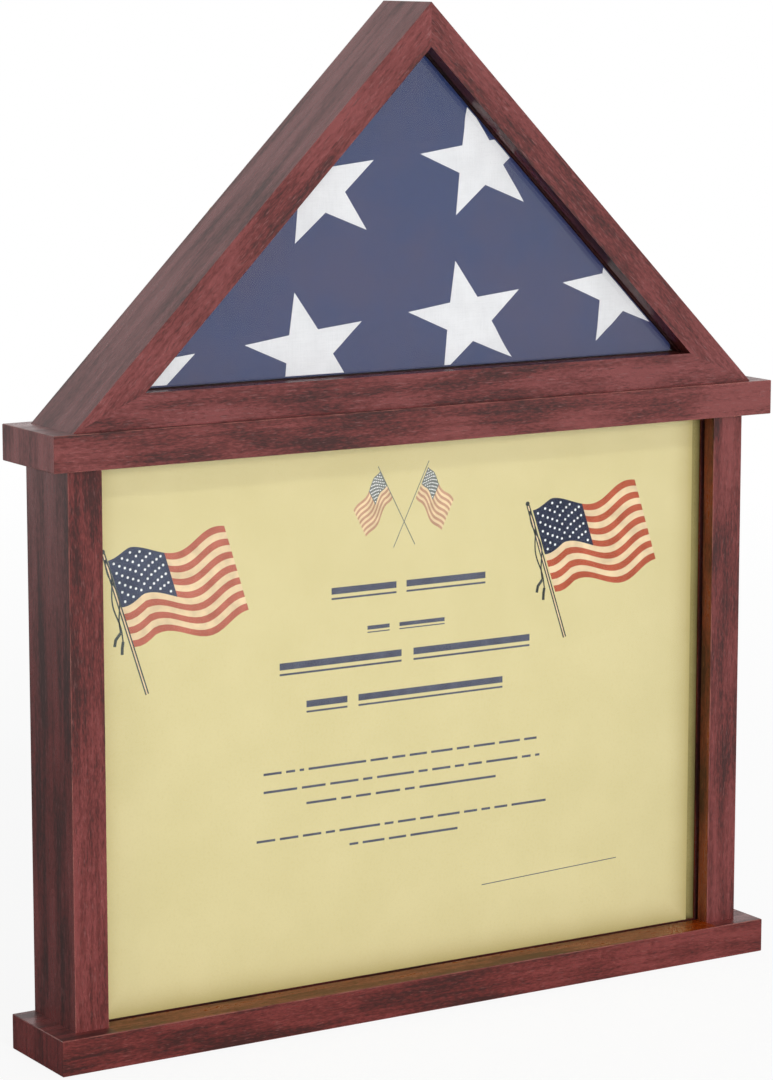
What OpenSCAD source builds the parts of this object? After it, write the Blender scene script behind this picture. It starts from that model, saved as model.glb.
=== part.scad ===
// Display case for a folded flag and a certificate: a right-angled triangular
// flag case stands on a mantel board, over a glazed certificate bay whose two
// posts stand on a base board. Both bays open at the back.
// Millimetres, X to the right, Y to the back, Z up. The origin is at the
// underside of the base board, in the middle of the overall plan.

/* [Certificate bay] */
// Width of the certificate sheet
sheet_w = 279.4; // [200:0.1:420]
// Height of the certificate sheet
sheet_h = 215.9; // [150:0.1:300]
// Thickness of the certificate sheet
sheet_t = 0.3; // [0.2:0.05:1]
// Free width beside the sheet, between the posts
sheet_side_play = 4.6; // [1:0.1:12]
// Free height above the sheet, under the mantel board
sheet_top_play = 0.3; // [0.1:0.1:4]
// Gap between the left post and the sheet
sheet_left_gap = 0.3; // [0.1:0.1:0.9]
// Thickness of the board behind the sheet
backing_t = 2; // [1:0.1:4]
// Width of each spacer strip between the backing board and the back panel
spacer_w = 12; // [6:0.5:30]
// Distance from each spacer strip to the post beside it
spacer_inset = 10; // [2:0.5:40]
// Distance from the ends of a spacer strip to the boards above and below
spacer_end_gap = 8; // [1:0.5:40]

/* [Frame] */
// Thickness of each post, seen from the front
post_t = 14.3; // [13:0.1:25]
// Depth of the posts, the rafters and the sill, front to back
frame_d = 35; // [30:0.5:70]
// Face width of each rafter
rafter_face = 12.2; // [11.5:0.1:25]
// Face height of the sill
sill_face = 13.2; // [12.5:0.1:25]

/* [Boards] */
// Thickness of the base board
base_t = 14; // [10:0.5:30]
// Thickness of the mantel board
mantel_t = 14; // [11:0.5:30]
// Reach of both boards past the posts, on each side
side_overhang = 9.2; // [0:0.1:30]
// Distance from the boards' front edge back to the posts
post_setback = 7.3; // [0:0.1:20]
// Distance from the posts' rear face to the boards' rear edge
rear_inset = 0.7; // [0:0.1:6]
// Distance from the mantel board's front edge back to the flag case
flag_case_setback = 2.5; // [0:0.1:6]

/* [Glass] */
// Thickness of both panes
glass_t = 3; // [2:0.1:4]
// Distance from the frame's front face back to the glass
glass_setback = 6.6; // [4:0.1:9]
// Depth of the grooves that hold the panes
groove_depth = 3.5; // [2:0.1:5]

/* [Back panels] */
// Thickness of both back panels
panel_t = 3; // [2:0.1:5]
// Width of the rabbet that each back panel lies in
rabbet_w = 4; // [2.5:0.1:4.5]

/* [Turn buttons] */
// Distance from a turn button's pivot to its tip
button_reach = 17; // [12:0.5:24]
// Width of a turn button at its pivot
button_w = 7.6; // [6.5:0.1:8]
// Width of a turn button at its tip
button_tip_w = 5; // [4:0.1:6]
// Thickness of a turn button
button_t = 1; // [0.8:0.1:1.6]
// Height of the thumb ridge across a turn button's tip
ridge_h = 0.8; // [0.4:0.1:1.5]
// Distance from each certificate turn button's pivot to the nearest board
button_inset = 40; // [30:1:60]

/* [Fasteners] */
// Diameter of the screws that join the boards, posts and sill
joint_screw_d = 4; // [3:0.1:4.5]
// Length of the screws that join the boards to the posts
post_screw_len = 35; // [25:1:45]
// Length of the screws that join the mantel board to the sill
sill_screw_len = 21; // [18:0.5:22]
// Distance from the mantel board's middle to each sill screw
sill_screw_x = 70; // [20:1:90]
// Distance from the middle of a post's depth to each of its two screws
post_screw_spread = 8; // [6:0.5:9]
// Diameter of the screws that hold the turn buttons
button_screw_d = 3; // [2.2:0.1:3.2]
// Length of the screws that hold the turn buttons, below the head
button_screw_len = 13; // [8:0.5:16]
// Diameter of the head of a turn button's screw
button_head_d = 5.6; // [5:0.1:6.2]
// Height of the head of a turn button's screw
button_head_h = 1.8; // [1.2:0.1:2.5]
// Length of each leg of a mitre nail
nail_leg = 5; // [3:0.1:6]
// Thickness of a mitre nail's steel
nail_t = 0.8; // [0.5:0.1:1.2]
// Depth of a mitre nail below the frame's rear face
nail_depth = 9; // [5:0.5:12]

/* [Fits] */
// Clearance on each face of a pane in its groove
groove_play = 0.15; // [0.05:0.05:0.25]
// Gap between a pane's edge and the groove's floor
pane_edge_gap = 0.5; // [0.2:0.1:0.8]
// Gap between the certificate's pane and the sheet
sheet_gap = 0.3; // [0.1:0.1:0.8]
// Gap around the backing board
backing_play = 0.3; // [0.1:0.1:0.8]
// Gap between a back panel's edge and its rabbet
panel_play = 0.5; // [0.2:0.1:0.8]
// Gap all round the folded flag
flag_gap = 0.3; // [0.2:0.1:0.8]
// Cut across each sharp corner of the folded flag
flag_corner = 3; // [1:0.5:8]
// Gap between a turn button and the face it turns on
button_gap = 0.1; // [0.05:0.05:0.3]
// Radial clearance of a screw in a turn button's hole
pivot_play = 0.08; // [0.02:0.01:0.1]
// Clearance around screws and nails in the wood
fastener_play = 0.05; // [0.02:0.01:0.1]
// Depth of a countersunk head below its board's face
head_recess = 0.5; // [0.2:0.1:1.5]

/* [Hidden] */
$fn = 48;
// Over-cut that keeps a cutter's face off the face it cuts
cut = 1;

// Clear width and height between the posts and between the boards
bay_w = sheet_w + sheet_side_play;
bay_h = sheet_h + sheet_top_play;
// Width over both posts, which is the flag case's width too
frame_w = bay_w + 2 * post_t;

// Plan of both boards
board_w = frame_w + 2 * side_overhang;
board_d = post_setback + frame_d + rear_inset;

// Heights
mantel_z = base_t + bay_h;
case_z = mantel_z + mantel_t;
apex_z = case_z + frame_w / 2;

// A turn button and its screw head, stacked behind the frame
button_stack = 2 * button_gap + button_t + max(button_head_h, ridge_h);
total_d = max(board_d, post_setback + frame_d + button_stack);

// Front planes of the boards, the posts and the flag case
front_y = -total_d / 2;
post_y = front_y + post_setback;
case_y = front_y + flag_case_setback;
// Rear planes of the posts and the flag case
post_rear_y = post_y + frame_d;
case_rear_y = case_y + frame_d;

// The flag case's opening, a right-angled triangle with its hypotenuse down
open_z = case_z + sill_face;
open_top_z = apex_z - rafter_face * sqrt(2);
open_half = open_top_z - open_z;

// Layers behind the certificate's pane
sheet_x = -bay_w / 2 + sheet_left_gap;
sheet_y = post_y + glass_setback + glass_t + sheet_gap;
backing_y = sheet_y + sheet_t;
spacer_y = backing_y + backing_t;
spacer_d = post_rear_y - panel_t - spacer_y;

// Screws
joint_head_d = 2 * joint_screw_d;
screw_tip_h = 4;
screw_tip_d = 0.8;
slot_w = 1;
slot_h = 0.9;
post_mid_x = (bay_w + post_t) / 2;
post_mid_y = post_y + frame_d / 2;
sill_screw_y = case_y + 0.6 * frame_d;

// Turn buttons: pivots stand in the middle of the wood left by the rabbet
post_web = post_t - rabbet_w;
post_pivot_x = frame_w / 2 - post_web / 2;
low_pivot_z = base_t + button_inset;
high_pivot_z = mantel_z - button_inset;
rafter_web = rafter_face - rabbet_w;
rafter_pivot_x = frame_w / 4 - rafter_web / 2 / sqrt(2);
rafter_pivot_z = case_z + frame_w / 4 - rafter_web / 2 / sqrt(2);
sill_pivot_z = case_z + (sill_face - rabbet_w) / 2;
button_hole_d = button_screw_d + 2 * pivot_play;

// Mitre nails: each stands this share of the way in from a mitre's outer end
nail_place = 0.3;

// Corners of the flag case, outside and at the opening
left_foot = [-frame_w / 2, case_z];
right_foot = [frame_w / 2, case_z];
peak = [0, apex_z];
left_corner = [-open_half, open_z];
right_corner = [open_half, open_z];
top_corner = [0, open_top_z];

// Colours
wood = "#7a4444";
wood_dark = "#6b3c3c";
pane = [0.85, 0.92, 0.92, 0.35];
parchment = "#dcd09a";
card = "#8c7f52";
hardboard = "#5a4030";
navy = "#575d7c";
steel = "#a8a8a4";
brass = "#b39555";

// Extrudes an outline drawn in X and Z from y to y + depth
module upright(y, depth) {
    translate([0, y + depth, 0]) rotate([90, 0, 0]) linear_extrude(depth) children();
}

// The opening's triangle, with each side moved outward by grow
function grown_opening(grow) =
    let (half = open_half + grow * (1 + sqrt(2)), z = open_z - grow)
    [[-half, z], [half, z], [0, z + half]];

module opening_prism(grow, y, depth) {
    upright(y, depth) polygon(grown_opening(grow));
}

// Countersunk wood screw, head at the origin and tip up. A play above 0 makes its hole
module joint_screw(len, play = 0) {
    shank_d = joint_screw_d + 2 * play;
    head_h = (joint_head_d - joint_screw_d) / 2;
    cylinder(h = head_h, d1 = joint_head_d + 2 * play, d2 = shank_d);
    cylinder(h = len - screw_tip_h, d = shank_d);
    translate([0, 0, len - screw_tip_h])
        cylinder(h = screw_tip_h + play, d1 = shank_d, d2 = screw_tip_d + 2 * play);
}

module joint_screw_hole(len) {
    joint_screw(len, fastener_play);
    translate([0, 0, -head_recess - cut])
        cylinder(h = head_recess + cut, d = joint_head_d + 2 * fastener_play);
}

// Cross slots in a screw head whose face is at the origin
module cross_slot(width) {
    for (turn = [0, 90])
        rotate(turn)
            translate([-width / 2, -slot_w / 2, -cut]) cube([width, slot_w, slot_h + cut]);
}

module slotted_joint_screw(len) {
    difference() {
        joint_screw(len);
        cross_slot(0.6 * joint_head_d);
    }
}

// Pan-head screw of a turn button, head below the origin and tip up
module button_screw() {
    difference() {
        union() {
            translate([0, 0, -button_head_h / 2]) cylinder(h = button_head_h / 2, d = button_head_d);
            translate([0, 0, -button_head_h])
                cylinder(h = button_head_h / 2, d1 = 0.7 * button_head_d, d2 = button_head_d);
        }
        translate([0, 0, -button_head_h]) cross_slot(0.5 * button_head_d);
    }
    button_shank(0);
}

module button_shank(play) {
    cylinder(h = button_screw_len - screw_tip_h, d = button_screw_d + 2 * play);
    translate([0, 0, button_screw_len - screw_tip_h])
        cylinder(h = screw_tip_h + play, d1 = button_screw_d + 2 * play, d2 = screw_tip_d + 2 * play);
}

// Places a child that points up so that it points forward into the frame's rear face
module at_pivot(x, rear_y, z) {
    translate([x, rear_y + 2 * button_gap + button_t, z]) rotate([90, 0, 0]) children();
}

module post_button_pivots() {
    for (x = [-post_pivot_x, post_pivot_x], z = [low_pivot_z, high_pivot_z])
        at_pivot(x, post_rear_y, z) children();
}

module case_button_pivots() {
    for (x = [-rafter_pivot_x, rafter_pivot_x])
        at_pivot(x, case_rear_y, rafter_pivot_z) children();
    at_pivot(0, case_rear_y, sill_pivot_z) children();
}

module post_screw_places(z) {
    for (x = [-post_mid_x, post_mid_x], y = [-post_screw_spread, post_screw_spread])
        translate([x, post_mid_y + y, z]) children();
}

module base_screw_places() {
    post_screw_places(head_recess) children();
}

module mantel_screw_places() {
    post_screw_places(case_z - head_recess) rotate([180, 0, 0]) children();
}

module sill_screw_places() {
    for (x = [-sill_screw_x, sill_screw_x])
        translate([x, sill_screw_y, mantel_z + head_recess]) children();
}

// One mitre nail: two steel legs that run from the mitre into the pieces it joins
module mitre_nail(outer, inner, leg_turns, play) {
    spot = outer + nail_place * (inner - outer);
    upright(case_rear_y - nail_depth - play, nail_depth + play)
        translate(spot) {
            for (turn = leg_turns)
                rotate(turn) translate([0, -nail_t / 2 - play]) square([nail_leg + play, nail_t + 2 * play]);
            circle(d = nail_t + 2 * play);
        }
}

module mitre_nail_set(play) {
    mitre_nail(left_foot, left_corner, [0, 45], play);
    mitre_nail(right_foot, right_corner, [180, 135], play);
    mitre_nail(peak, top_corner, [-45, -135], play);
}

// The certificate's pane, or the groove that holds it
module bay_pane(side, edge) {
    translate([-bay_w / 2 - edge, post_y + glass_setback - side, base_t - edge])
        cube([bay_w + 2 * edge, glass_t + 2 * side, bay_h + 2 * edge]);
}

module bay_groove() {
    bay_pane(groove_play, groove_depth);
}

module board(z, t) {
    translate([-board_w / 2, front_y, z]) cube([board_w, board_d, t]);
}

module base_board() {
    color(wood)
        difference() {
            board(0, base_t);
            bay_groove();
            base_screw_places() joint_screw_hole(post_screw_len);
        }
}

module mantel_board() {
    color(wood)
        difference() {
            board(mantel_z, mantel_t);
            bay_groove();
            mantel_screw_places() joint_screw_hole(post_screw_len);
            sill_screw_places() joint_screw_hole(sill_screw_len);
        }
}

// A post whose outer face is on side -1 or 1
module post(side) {
    low_x = side < 0 ? -frame_w / 2 : bay_w / 2;
    rabbet_x = side < 0 ? -bay_w / 2 - rabbet_w : bay_w / 2 - cut;
    color(wood_dark)
        difference() {
            translate([low_x, post_y, base_t]) cube([post_t, frame_d, bay_h]);
            bay_groove();
            translate([rabbet_x, post_rear_y - panel_t, base_t - cut])
                cube([rabbet_w + cut, panel_t + cut, bay_h + 2 * cut]);
            base_screw_places() joint_screw_hole(post_screw_len);
            mantel_screw_places() joint_screw_hole(post_screw_len);
            post_button_pivots() button_shank(fastener_play);
        }
}

module left_post() {
    post(-1);
}

module right_post() {
    post(1);
}

// A mitred piece of the flag case, with the pane's groove and the back panel's rabbet
module case_piece(outline) {
    difference() {
        upright(case_y, frame_d) polygon(outline);
        opening_prism(groove_depth, case_y + glass_setback - groove_play, glass_t + 2 * groove_play);
        opening_prism(rabbet_w, case_rear_y - panel_t, panel_t + cut);
        mitre_nail_set(fastener_play);
        case_button_pivots() button_shank(fastener_play);
        sill_screw_places() joint_screw_hole(sill_screw_len);
    }
}

module left_rafter() {
    color(wood) case_piece([left_foot, left_corner, top_corner, peak]);
}

module right_rafter() {
    color(wood) case_piece([right_foot, peak, top_corner, right_corner]);
}

module sill() {
    color(wood_dark) case_piece([left_foot, right_foot, right_corner, left_corner]);
}

module certificate_glass() {
    color(pane) bay_pane(0, groove_depth - pane_edge_gap);
}

module flag_glass() {
    color(pane) opening_prism(groove_depth - pane_edge_gap, case_y + glass_setback, glass_t);
}

module certificate() {
    color(parchment) translate([sheet_x, sheet_y, base_t]) cube([sheet_w, sheet_t, sheet_h]);
}

module certificate_backing() {
    color(card)
        translate([-bay_w / 2 + backing_play, backing_y, base_t])
            cube([bay_w - 2 * backing_play, backing_t, bay_h - backing_play]);
}

module spacer(low_x) {
    color(hardboard)
        translate([low_x, spacer_y, base_t + spacer_end_gap])
            cube([spacer_w, spacer_d, bay_h - 2 * spacer_end_gap]);
}

module left_spacer() {
    spacer(-bay_w / 2 + spacer_inset);
}

module right_spacer() {
    spacer(bay_w / 2 - spacer_inset - spacer_w);
}

// The flag, folded into a thick triangle with blunt corners
module folded_flag() {
    low_y = case_y + glass_setback + glass_t + flag_gap;
    corners = grown_opening(-flag_gap);
    half = corners[1][0];
    z = corners[1][1];
    slant = flag_corner / sqrt(2);
    color(navy)
        upright(low_y, case_rear_y - panel_t - flag_gap - low_y)
            polygon([
                [-half + flag_corner, z], [half - flag_corner, z],
                [half - slant, z + slant], [slant, z + half - slant],
                [-slant, z + half - slant], [-half + slant, z + slant]
            ]);
}

module certificate_back_panel() {
    half = bay_w / 2 + rabbet_w - panel_play;
    color(hardboard)
        translate([-half, post_rear_y - panel_t, base_t])
            cube([2 * half, panel_t, bay_h - panel_play]);
}

module flag_back_panel() {
    color(hardboard) opening_prism(rabbet_w - panel_play, case_rear_y - panel_t, panel_t);
}

// Turn button with its pivot at x, z and its tip in the direction turn
module turn_button(x, rear_y, z, turn) {
    pivot_r = button_w / 2;
    tip_r = button_tip_w / 2;
    tip_x = button_reach - tip_r;
    lean = asin((pivot_r - tip_r) / tip_x);
    flank = [sin(lean), cos(lean)];
    color(brass)
        translate([x, rear_y + button_gap, z])
            difference() {
                union() {
                    upright(0, button_t)
                        rotate(turn) {
                            circle(pivot_r);
                            translate([tip_x, 0]) circle(tip_r);
                            polygon([
                                pivot_r * flank, [tip_x, 0] + tip_r * flank,
                                [tip_x, 0] + tip_r * [flank.x, -flank.y], pivot_r * [flank.x, -flank.y]
                            ]);
                        }
                    upright(0, button_t + ridge_h)
                        rotate(turn) translate([tip_x, -tip_r / 2]) square([tip_r / 3, tip_r]);
                }
                upright(-cut, button_t + 2 * cut) circle(d = button_hole_d);
            }
}

module button_lower_left() {
    turn_button(-post_pivot_x, post_rear_y, low_pivot_z, 0);
}

module button_lower_right() {
    turn_button(post_pivot_x, post_rear_y, low_pivot_z, 180);
}

module button_upper_left() {
    turn_button(-post_pivot_x, post_rear_y, high_pivot_z, 0);
}

module button_upper_right() {
    turn_button(post_pivot_x, post_rear_y, high_pivot_z, 180);
}

module button_rafter_left() {
    turn_button(-rafter_pivot_x, case_rear_y, rafter_pivot_z, -45);
}

module button_rafter_right() {
    turn_button(rafter_pivot_x, case_rear_y, rafter_pivot_z, -135);
}

module button_sill() {
    turn_button(0, case_rear_y, sill_pivot_z, 90);
}

module button_screws() {
    color(steel) {
        post_button_pivots() button_screw();
        case_button_pivots() button_screw();
    }
}

module base_screws() {
    color(steel) base_screw_places() slotted_joint_screw(post_screw_len);
}

module mantel_screws() {
    color(steel) mantel_screw_places() slotted_joint_screw(post_screw_len);
}

module sill_screws() {
    color(steel) sill_screw_places() slotted_joint_screw(sill_screw_len);
}

module mitre_nails() {
    color(steel) mitre_nail_set(0);
}

base_board();
left_post();
right_post();
mantel_board();
left_rafter();
right_rafter();
sill();
certificate_glass();
flag_glass();
certificate();
certificate_backing();
left_spacer();
right_spacer();
folded_flag();
certificate_back_panel();
flag_back_panel();
button_lower_left();
button_lower_right();
button_upper_left();
button_upper_right();
button_rafter_left();
button_rafter_right();
button_sill();
button_screws();
base_screws();
mantel_screws();
sill_screws();
mitre_nails();
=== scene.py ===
import math
import bmesh
import bpy
from mathutils import Matrix, Vector, noise
from mathutils.bvhtree import BVHTree


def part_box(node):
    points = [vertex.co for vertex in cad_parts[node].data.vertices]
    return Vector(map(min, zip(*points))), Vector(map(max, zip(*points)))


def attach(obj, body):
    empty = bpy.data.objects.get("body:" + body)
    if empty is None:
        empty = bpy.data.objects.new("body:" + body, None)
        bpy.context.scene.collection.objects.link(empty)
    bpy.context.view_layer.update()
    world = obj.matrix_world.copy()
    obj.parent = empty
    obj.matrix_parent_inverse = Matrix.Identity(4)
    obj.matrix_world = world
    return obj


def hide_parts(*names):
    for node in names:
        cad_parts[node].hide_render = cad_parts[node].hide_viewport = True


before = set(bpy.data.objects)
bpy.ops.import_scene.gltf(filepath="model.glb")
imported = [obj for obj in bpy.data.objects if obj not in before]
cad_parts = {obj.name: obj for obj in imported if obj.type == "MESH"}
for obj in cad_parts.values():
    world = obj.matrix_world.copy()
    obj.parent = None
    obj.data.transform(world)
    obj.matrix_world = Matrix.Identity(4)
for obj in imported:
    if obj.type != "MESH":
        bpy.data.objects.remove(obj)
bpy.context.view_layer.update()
millimetre = 0.001
touching = 1e-5  # metres; points this close lie on one line or face
squareOn = 0.9  # a face whose normal has this share along an axis is square to it
print("frame loaded:", len(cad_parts), "nodes")

# camera
cameraLook = {
    "spot": (-0.7532, -1.2021, 0.4223),
    "heading": 31.80,  # degrees from straight back towards +X
    "dip": 9.37,
    "sensor": 36,
    "focalPixels": 3611.0,
    "pictureHeight": 1080,
}
cameraData = bpy.data.cameras.new("caseCamera")
cameraData.sensor_width = cameraLook["sensor"]
cameraData.lens = cameraLook["sensor"] * cameraLook["focalPixels"] / cameraLook["pictureHeight"]
caseCamera = bpy.data.objects.new("caseCamera", cameraData)
caseCamera.location = cameraLook["spot"]
caseCamera.rotation_euler = (math.radians(90 - cameraLook["dip"]), 0, math.radians(-cameraLook["heading"]))
bpy.context.scene.collection.objects.link(caseCamera)
bpy.context.scene.camera = caseCamera
bpy.context.scene.view_settings.view_transform = "Standard"
print("camera placed")


# node helpers: a value is either a number or colour, or another node's socket
def addNode(tree, kind, inputs=None, **settings):
    node = tree.nodes.new(kind)
    for name, value in settings.items():
        setattr(node, name, value)
    for name, value in (inputs or {}).items():
        if isinstance(value, bpy.types.NodeSocket):
            tree.links.new(value, node.inputs[name])
        else:
            node.inputs[name].default_value = value
    return node


def mathNode(tree, operation, first, second=0.5, clamp=False):
    node = addNode(tree, "ShaderNodeMath", {0: first, 1: second}, operation=operation, use_clamp=clamp)
    return node.outputs[0]


# the first value's share of a sum, the second value taking the rest
def weighted(tree, first, share, second):
    return mathNode(tree, "ADD", mathNode(tree, "MULTIPLY", first, share),
                    mathNode(tree, "MULTIPLY", second, 1 - share))


def mixColor(tree, factor, first, second, blend="MIX"):
    node = addNode(tree, "ShaderNodeMix", {0: factor, 6: first, 7: second}, data_type="RGBA", blend_type=blend)
    return node.outputs[2]


def rangeNode(tree, value, low, high, newLow=0.0, newHigh=1.0):
    return addNode(tree, "ShaderNodeMapRange", {0: value, 1: low, 2: high, 3: newLow, 4: newHigh}).outputs[0]


def noiseNode(tree, vector, scale, detail, roughness=0.5):
    return addNode(tree, "ShaderNodeTexNoise",
                   {"Vector": vector, "Scale": scale, "Detail": detail, "Roughness": roughness}).outputs[0]


def stretchedNoise(tree, vector, stretch, detail, roughness):
    placed = addNode(tree, "ShaderNodeMapping", {"Vector": vector, "Scale": stretch})
    return noiseNode(tree, placed.outputs[0], 1.0, detail, roughness)


def objectSpace(tree, turn=(0, 0, 0), shift=(0, 0, 0)):
    coordinates = addNode(tree, "ShaderNodeTexCoord")
    return addNode(tree, "ShaderNodeMapping",
                   {"Vector": coordinates.outputs["Object"], "Rotation": turn, "Location": shift}).outputs[0]


def addBump(tree, shader, height, strength, distance):
    bump = addNode(tree, "ShaderNodeBump", {"Strength": strength, "Distance": distance, "Height": height})
    tree.links.new(bump.outputs[0], shader.inputs["Normal"])


# a node group with its own inputs and outputs, each a name and a kind of socket
def newGroup(name, inputs, outputs):
    group = bpy.data.node_groups.new(name, "ShaderNodeTree")
    for way, sockets in (("INPUT", inputs), ("OUTPUT", outputs)):
        for socketName, kind in sockets.items():
            group.interface.new_socket(socketName, in_out=way, socket_type="NodeSocket" + kind)
    return group, group.nodes.new("NodeGroupInput").outputs, group.nodes.new("NodeGroupOutput").inputs


def useGroup(tree, group, inputs):
    return addNode(tree, "ShaderNodeGroup", inputs, node_tree=group).outputs


def newMaterial(name, shaderValues):
    material = bpy.data.materials.new(name)
    material.use_nodes = True
    tree = material.node_tree
    shader = tree.nodes["Principled BSDF"]
    for socketName, value in shaderValues.items():
        shader.inputs[socketName].default_value = value
    return material, tree, shader


# mesh helpers
def finishPiece(bm, name, materials, body="case", smoothAngle=None):
    mesh = bpy.data.meshes.new(name)
    bm.to_mesh(mesh)
    bm.free()
    piece = bpy.data.objects.new(name, mesh)
    bpy.context.scene.collection.objects.link(piece)
    for material in materials:
        mesh.materials.append(material)
    if smoothAngle is not None:
        mesh.shade_smooth()
        mesh.set_sharp_from_angle(angle=math.radians(smoothAngle))
    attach(piece, body)
    return piece


def dressNode(nodeName, material):
    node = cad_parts[nodeName]
    node.data.materials.clear()
    node.data.materials.append(material)


def cutMesh(bm, point, normal, clearOuter=False, near=0.0):
    bmesh.ops.bisect_plane(bm, geom=bm.verts[:] + bm.edges[:] + bm.faces[:], dist=near,
                           plane_co=point, plane_no=normal, clear_outer=clearOuter)


# gives flat faces a depth towards the back
def thicken(bm, depth):
    made = bmesh.ops.extrude_face_region(bm, geom=bm.faces[:], use_keep_orig=True)
    moved = [v for v in made["geom"] if isinstance(v, bmesh.types.BMVert)]
    bmesh.ops.translate(bm, verts=moved, vec=(0, depth, 0))


copying = {"weld": 2e-6, "flatWithin": 0.4}  # metres and degrees


# a merged copy of a CAD node's mesh, with its flat faces joined up again
def mergedCopy(nodeName):
    bm = bmesh.new()
    bm.from_mesh(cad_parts[nodeName].data)
    bmesh.ops.remove_doubles(bm, verts=bm.verts, dist=copying["weld"])
    bmesh.ops.dissolve_limit(bm, angle_limit=math.radians(copying["flatWithin"]),
                             use_dissolve_boundaries=False, verts=bm.verts, edges=bm.edges)
    return bm


# rounds edges and marks the new faces as arrises
def easeEdges(bm, edges, width, segments=2):
    arris = bm.faces.layers.float.new("arris")
    made = bmesh.ops.bevel(bm, geom=edges, offset=width, offset_type="OFFSET", segments=segments, profile=0.5,
                           affect="EDGES", material=-1, clamp_overlap=True)
    for face in made["faces"]:
        face[arris] = 1.0


# stained wood along X of the vector: cloudy patches, streaks, fine fibres, pores and pale scuffs
grainPattern = {
    "patch": ((21, 105, 95), 3.0, 0.5),  # each noise's stretch, detail and roughness
    "band": ((5, 150, 18), 2.0, 0.5),
    "streak": ((20, 520, 520), 2.0, 0.5),
    "fibre": ((400, 1800, 1800), 2.0, 0.6),
    "scuff": ((210, 1500, 1500), 3.0, 0.6),
    "pore": ((150, 1500, 1500), 1.0, 0.5),
    "patchShare": 0.62,  # against the bands
    "streakShare": 0.42,  # against the fibres
    "darkToMid": (0.24, 0.50),
    "midToLight": (0.50, 0.76),
    "poreEdge": (0.34, 0.28),
    "poreDepth": 0.5,
    "scuffEdge": (0.58, 0.72),
    "glossEdge": (0.3, 0.7),
    "fibreRelief": 0.6,
}


def makeStainGroup(plan):
    group, entry, result = newGroup(
        "stainedGrain",
        {"Vector": "Vector", "Light stain": "Color", "Mid stain": "Color", "Dark stain": "Color",
         "Scuff": "Color", "Streaks": "Float", "Patches": "Float", "Scuffs": "Float"},
        {"Color": "Color", "Gloss loss": "Float", "Height": "Float"})
    patch, band, streak, fibre, scuff, pore = (
        stretchedNoise(group, entry["Vector"], *plan[name])
        for name in ("patch", "band", "streak", "fibre", "scuff", "pore"))
    cloud = mathNode(group, "SUBTRACT", weighted(group, patch, plan["patchShare"], band), 0.5)
    cloud = mathNode(group, "MULTIPLY", cloud, entry["Patches"])
    lines = mathNode(group, "SUBTRACT", weighted(group, streak, plan["streakShare"], fibre), 0.5)
    lines = mathNode(group, "MULTIPLY", lines, entry["Streaks"])
    tone = mathNode(group, "ADD", mathNode(group, "ADD", cloud, lines), 0.5)
    color = mixColor(group, rangeNode(group, tone, *plan["darkToMid"]), entry["Dark stain"], entry["Mid stain"])
    color = mixColor(group, rangeNode(group, tone, *plan["midToLight"]), color, entry["Light stain"])
    pits = mathNode(group, "MULTIPLY", rangeNode(group, pore, *plan["poreEdge"]), plan["poreDepth"])
    color = mixColor(group, pits, color, entry["Dark stain"])
    scuffs = mathNode(group, "MULTIPLY", rangeNode(group, scuff, *plan["scuffEdge"]), entry["Scuffs"])
    group.links.new(mixColor(group, scuffs, color, entry["Scuff"]), result["Color"])
    group.links.new(rangeNode(group, tone, *plan["glossEdge"], 1.0, 0.0), result["Gloss loss"])
    relief = weighted(group, fibre, plan["fibreRelief"], streak)
    group.links.new(mathNode(group, "SUBTRACT", relief, pits), result["Height"])
    return group


# a piece's arris attribute: 1 is an edge rubbed pale, broken up by noise, and -1 a dark line of painted shade
# in a joint; a groove's rear wall takes less of the same painted shade
arrisLook = {
    "breaks": ((90, 90, 90), 3.0, 0.6),
    "breakEdge": (0.35, 0.6),
    "paintedShadeDepth": 0.85,
    "paintedShade": (0.012, 0.005, 0.005, 1),
}


def makeArrisGroup(plan):
    group, entry, result = newGroup(
        "rubbedArrisAndShade", {"Color": "Color", "Rubbed": "Color", "Amount": "Float", "Vector": "Vector"},
        {"Color": "Color"})
    arris = addNode(group, "ShaderNodeAttribute", attribute_name="arris").outputs["Fac"]
    broken = rangeNode(group, stretchedNoise(group, entry["Vector"], *plan["breaks"]), *plan["breakEdge"])
    rubbed = mathNode(group, "MULTIPLY", arris, broken)
    rubbed = mathNode(group, "MULTIPLY", rubbed, entry["Amount"], clamp=True)
    color = mixColor(group, rubbed, entry["Color"], entry["Rubbed"])
    # painted shade: arris values below 0 darken the colour towards near black
    paintedShade = mathNode(group, "MULTIPLY", arris, -plan["paintedShadeDepth"], clamp=True)
    group.links.new(mixColor(group, paintedShade, color, plan["paintedShade"]), result["Color"])
    return group


stainedGrain = makeStainGroup(grainPattern)
rubbedArrisAndShade = makeArrisGroup(arrisLook)
woodLook = {
    "light": (0.205, 0.053, 0.051),
    "mid": (0.128, 0.030, 0.028),
    "dark": (0.047, 0.018, 0.017),
    "scuff": (0.27, 0.12, 0.115),
    "streaks": 1.45,
    "patches": 2.0,
    "scuffs": 0.5,
    "roughness": (0.27, 0.42),
    "ior": 1.36,
    "bump": (0.35, 0.00006),  # strength and height in metres, as for every bump below
    "rubbed": (0.36, 0.14, 0.115, 1),
    "rubAmount": 0.5,
    # painted reflection and bounce light of the yellow paper, on the certificate bay's walls
    "paperReflectionTint": (1.15, 1.0, 0.42),
    # painted shade on the floor and slopes of the flag's bay
    "flagBayShadeTint": (0.62, 0.5, 0.48),
}


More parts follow.
